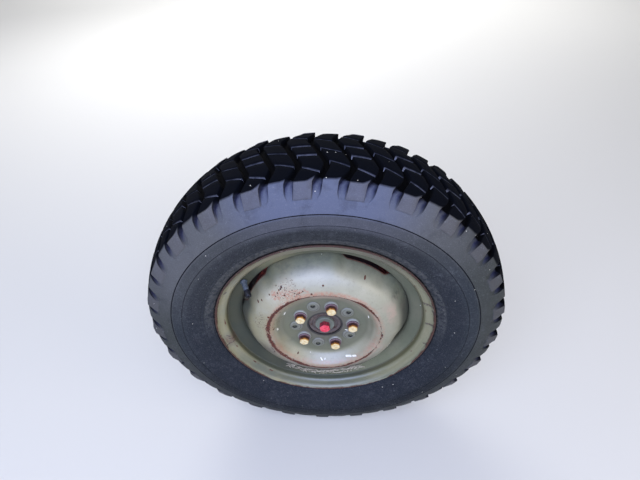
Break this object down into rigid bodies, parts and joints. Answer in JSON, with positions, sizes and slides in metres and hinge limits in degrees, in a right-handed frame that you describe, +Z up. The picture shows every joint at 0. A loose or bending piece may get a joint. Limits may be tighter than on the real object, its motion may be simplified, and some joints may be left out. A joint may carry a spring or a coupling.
{
  "type": "off-road vehicle wheel with hub carrier and half shaft",
  "caption": "Steel disc wheel with a lugged off-road tyre, bolted to a hub and brake drum that turn in a flanged hub carrier, driven by a jointed half shaft.",
  "frame": {"origin": "centre of the hub carrier's bolted face, on the wheel's axis", "axes": "+Y inboard along the wheel's axis, out of the bolted face; +X forward; +Z up"},
  "size_m": [0.7212, 0.4785, 0.7208],
  "materials": {
    "tyre": "weathered black tread rubber with dust",
    "wheel_paint": "matt olive green paint, rusty at edges",
    "valve_rubber": "matt",
    "yellow_zinc": "yellow zinc plate with rust at the flanks",
    "bare_iron": "machined iron with light rust",
    "washer_paint": "grey green paint, worn",
    "red_paint": "red marking paint on a steel bolt",
    "rusty_iron": "brown surface rust",
    "dark_steel": "oily dark steel",
    "boot_rubber": "matt black",
    "carrier_paint": "black chassis paint with rust and dirt",
    "bearing_steel": "ground steel"
  },
  "bodies": {
    "carrier": {"hub_carrier": "carrier_paint", "wheel_bearing": "bearing_steel", "back_plate": "carrier_paint", "back_plate_bolts": "bare_iron", "wheel_cylinder": "rusty_iron"},
    "wheel": {"tyre": "tyre", "wheel_rim": "wheel_paint", "wheel_disc": "wheel_paint", "valve_stem": "valve_rubber", "valve_cap": "valve_rubber", "wheel_bolts": "yellow_zinc", "hub": "bare_iron", "hub_washer": "washer_paint", "hub_bolt": "red_paint", "brake_drum": "rusty_iron", "outer_joint": "dark_steel", "half_shaft": "dark_steel", "inner_joint": "dark_steel", "shaft_boots": "boot_rubber"}
  },
  "joints": [
    {"name": "wheel_spin", "type": "hinge", "parent": "carrier", "child": "wheel", "pos_m": [0, 0, 0], "axis": [0, -1, 0], "continuous": true}
  ]
}
